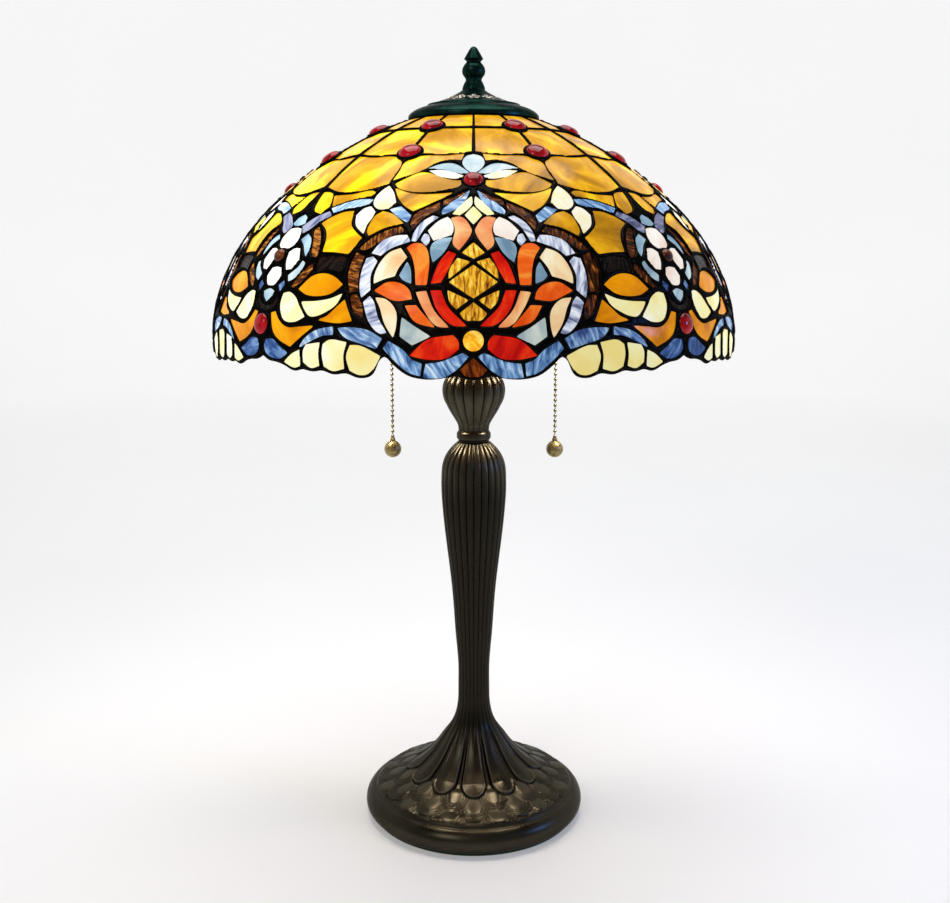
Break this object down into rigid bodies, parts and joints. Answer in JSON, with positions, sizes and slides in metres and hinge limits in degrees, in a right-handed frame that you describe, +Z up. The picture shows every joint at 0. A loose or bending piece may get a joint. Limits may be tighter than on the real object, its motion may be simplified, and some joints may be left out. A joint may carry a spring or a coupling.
{
  "type": "stained glass table lamp",
  "caption": "Table lamp with a domed leaded-glass shade of lotus and blossom panels on a fluted bronze column, with pull-chain sockets.",
  "frame": {"origin": "centre of the foot's underside, on the surface the lamp stands on", "axes": "+Z up along the rod; -Y is the front, where one lotus panel faces; +X is the right-hand socket"},
  "size_m": [0.4058, 0.4058, 0.622],
  "materials": {
    "bronze": "cast metal with a dark bronze patina, satin, rubbed brighter on the high edges",
    "felt": "dark green felt",
    "iron": "raw grey iron",
    "steel": "zinc-plated steel",
    "bushing_rubber": "black rubber",
    "brass": "antiqued brass, satin",
    "chain_brass": "antiqued brass bead chain",
    "porcelain": "glazed white porcelain",
    "bulb_glass": "frosted warm-white bulb, lit",
    "art_glass": "opalescent and ripple stained glass in amber, cream, blue, orange and red",
    "lead": "soldered lead came with a black-brown patina",
    "patina": "cast metal with a dark green-black patina"
  },
  "bodies": {
    "stand": {"base_foot": "bronze", "felt_pad": "felt", "base_weight": "iron", "base_washer": "steel", "base_nut": "steel", "cord_bushing": "bushing_rubber", "lamp_rod": "steel", "column": "bronze", "column_collar": "bronze", "vase_knop": "bronze", "vase_seat_ring": "bronze", "stem_tube": "brass", "cluster_body": "brass", "riser_tube": "brass", "wheel_locknut": "steel", "shade_wheel": "brass", "right_socket_cap": "brass", "right_socket_shell": "brass", "right_socket_core": "porcelain", "right_chain_guide": "brass", "left_socket_cap": "brass", "left_socket_shell": "brass", "left_socket_core": "porcelain", "left_chain_guide": "brass"},
    "shade": {"shade_crown_ring": "brass", "lotus_panel_1": "art_glass", "lotus_panel_2": "art_glass", "lotus_panel_3": "art_glass", "lotus_panel_4": "art_glass", "blossom_panel_1": "art_glass", "blossom_panel_2": "art_glass", "blossom_panel_3": "art_glass", "blossom_panel_4": "art_glass", "seam_came_1": "lead", "seam_came_2": "lead", "seam_came_3": "lead", "seam_came_4": "lead", "seam_came_5": "lead", "seam_came_6": "lead", "seam_came_7": "lead", "seam_came_8": "lead", "rim_came": "lead", "heat_cap": "patina"},
    "finial": {"finial": "patina"},
    "right_bulb": {"right_bulb_cap": "steel", "right_bulb_glass": "bulb_glass"},
    "right_switch": {"right_switch_cam": "brass"},
    "right_pull": {"right_chain_stub": "chain_brass"},
    "right_chain": {"right_chain_upper": "chain_brass"},
    "right_chain_end": {"right_chain_lower": "chain_brass", "right_chain_ball": "chain_brass"},
    "left_bulb": {"left_bulb_cap": "steel", "left_bulb_glass": "bulb_glass"},
    "left_switch": {"left_switch_cam": "brass"},
    "left_pull": {"left_chain_stub": "chain_brass"},
    "left_chain": {"left_chain_upper": "chain_brass"},
    "left_chain_end": {"left_chain_lower": "chain_brass", "left_chain_ball": "chain_brass"}
  },
  "joints": [
    {"name": "shade_turn", "type": "hinge", "parent": "stand", "child": "shade", "pos_m": [0, 0, 0.563], "axis": [0, 0, 1], "continuous": true},
    {"name": "finial_screw", "type": "hinge", "parent": "stand", "child": "finial", "pos_m": [0, 0, 0.6], "axis": [0, 0, 1], "continuous": true},
    {"name": "right_bulb_screw", "type": "hinge", "parent": "stand", "child": "right_bulb", "pos_m": [0.07518, 0, 0.44736], "axis": [0.9397, 0, 0.342], "continuous": true},
    {"name": "right_chain_pull", "type": "slide", "parent": "stand", "child": "right_pull", "axis": [0.342, 0, -0.9397], "range_m": [0, 0.005], "stiffness_N_per_m": 300, "springref_m": -0.003},
    {"name": "right_switch_turn", "type": "hinge", "parent": "stand", "child": "right_switch", "pos_m": [0.0509, 0, 0.42927], "axis": [0, 1, 0], "range_deg": [0, 34]},
    {"name": "right_chain_swing", "type": "hinge", "parent": "right_pull", "child": "right_chain", "pos_m": [0.06562, 0, 0.41515], "axis": [0, -1, 0], "range_deg": [-15, 40]},
    {"name": "right_chain_sway", "type": "hinge", "parent": "right_chain", "child": "right_chain_end", "pos_m": [0.06562, 0, 0.3688], "axis": [1, 0, 0], "range_deg": [-30, 30]},
    {"name": "left_bulb_screw", "type": "hinge", "parent": "stand", "child": "left_bulb", "pos_m": [-0.07518, 0, 0.44736], "axis": [-0.9397, 0, 0.342], "continuous": true},
    {"name": "left_chain_pull", "type": "slide", "parent": "stand", "child": "left_pull", "axis": [-0.342, 0, -0.9397], "range_m": [0, 0.005], "stiffness_N_per_m": 300, "springref_m": -0.003},
    {"name": "left_switch_turn", "type": "hinge", "parent": "stand", "child": "left_switch", "pos_m": [-0.0509, 0, 0.42927], "axis": [0, -1, 0], "range_deg": [0, 34]},
    {"name": "left_chain_swing", "type": "hinge", "parent": "left_pull", "child": "left_chain", "pos_m": [-0.06562, 0, 0.41515], "axis": [0, 1, 0], "range_deg": [-15, 40]},
    {"name": "left_chain_sway", "type": "hinge", "parent": "left_chain", "child": "left_chain_end", "pos_m": [-0.06562, 0, 0.3688], "axis": [1, 0, 0], "range_deg": [-30, 30]}
  ],
  "couplings": [
    {"joint": "right_switch_turn", "follows": "right_chain_pull", "rad_per_m": 117.81},
    {"joint": "left_switch_turn", "follows": "left_chain_pull", "rad_per_m": 117.81}
  ]
}
